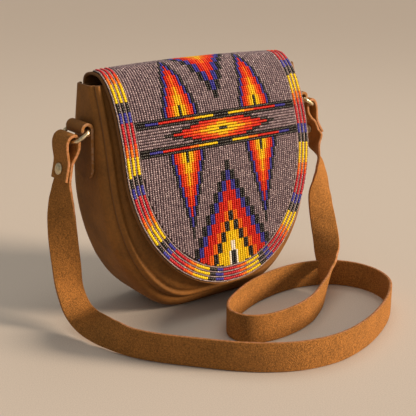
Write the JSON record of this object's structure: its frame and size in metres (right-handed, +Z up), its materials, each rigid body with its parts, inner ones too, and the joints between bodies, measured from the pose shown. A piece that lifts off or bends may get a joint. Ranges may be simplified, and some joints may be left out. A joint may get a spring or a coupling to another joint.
{
  "type": "beaded crossbody bag",
  "caption": "Saddle-shaped leather crossbody bag with a beaded flap hinged along the back edge, side tabs carrying D-rings, and a long strap folded over the rings and riveted",
  "frame": {"origin": "on the ground at the middle of the flat underside of the gusset", "axes": "+X to the bag's right as seen from the front, front faces -Y, +Z up"},
  "size_m": [0.2609, 0.2049, 0.1942],
  "materials": {
    "body_leather": "soft oil-tanned leather, matte",
    "strap_leather": "suede-faced strap leather, matte",
    "nickel": "worn nickel plate",
    "beads_grey": "opaque glossy seed beads",
    "beads_red": "opaque glossy seed beads",
    "beads_orange": "opaque glossy seed beads",
    "beads_yellow": "opaque glossy seed beads",
    "beads_blue": "opaque glossy seed beads",
    "beads_black": "opaque glossy seed beads",
    "beads_white": "opaque glossy seed beads"
  },
  "bodies": {
    "bag": {"front_panel": "body_leather", "back_panel": "body_leather", "gusset": "body_leather", "flap_tail": "body_leather", "tab_left": "body_leather", "tab_right": "body_leather", "strap": "strap_leather"},
    "flap": {"flap_leather": "body_leather", "bead_border": "beads_red", "bead_field_upper": "beads_grey", "bead_field_band": "beads_grey", "bead_field_lower": "beads_grey", "feather_upper_left_edge": "beads_blue", "feather_upper_left_flame": "beads_red", "feather_upper_left_core": "beads_yellow", "feather_upper_right_edge": "beads_blue", "feather_upper_right_flame": "beads_red", "feather_upper_right_core": "beads_yellow", "feather_lower_left_edge": "beads_blue", "feather_lower_left_flame": "beads_red", "feather_lower_left_core": "beads_yellow", "feather_lower_right_edge": "beads_blue", "feather_lower_right_flame": "beads_red", "feather_lower_right_core": "beads_yellow", "crest_triangle_edge": "beads_blue", "crest_triangle_flame": "beads_orange", "bar_upper": "beads_black", "bar_upper_flame_left": "beads_orange", "bar_upper_flame_right": "beads_orange", "bar_lower": "beads_black", "bar_lower_flame_left": "beads_orange", "bar_lower_flame_right": "beads_orange", "diamond_flame": "beads_red", "diamond_core": "beads_yellow", "pyramid_edge": "beads_blue", "pyramid_flame": "beads_red", "pyramid_core": "beads_yellow", "pyramid_heart": "beads_white"},
    "ring_left": {"d_ring_left": "nickel", "rivet_left": "nickel"},
    "ring_right": {"d_ring_right": "nickel", "rivet_right": "nickel"}
  },
  "joints": [
    {"name": "flap_hinge", "type": "hinge", "parent": "bag", "child": "flap", "pos_m": [0, 0.02053, 0.181], "axis": [-1, 0, 0], "range_deg": [0, 160]},
    {"name": "ring_left_swing", "type": "hinge", "parent": "bag", "child": "ring_left", "pos_m": [-0.10452, 0, 0.151], "axis": [0, 1, 0], "range_deg": [-15, 40], "deforming": ["strap"]},
    {"name": "ring_right_swing", "type": "hinge", "parent": "bag", "child": "ring_right", "pos_m": [0.10452, 0, 0.151], "axis": [0, -1, 0], "range_deg": [-15, 40], "deforming": ["strap"]}
  ]
}
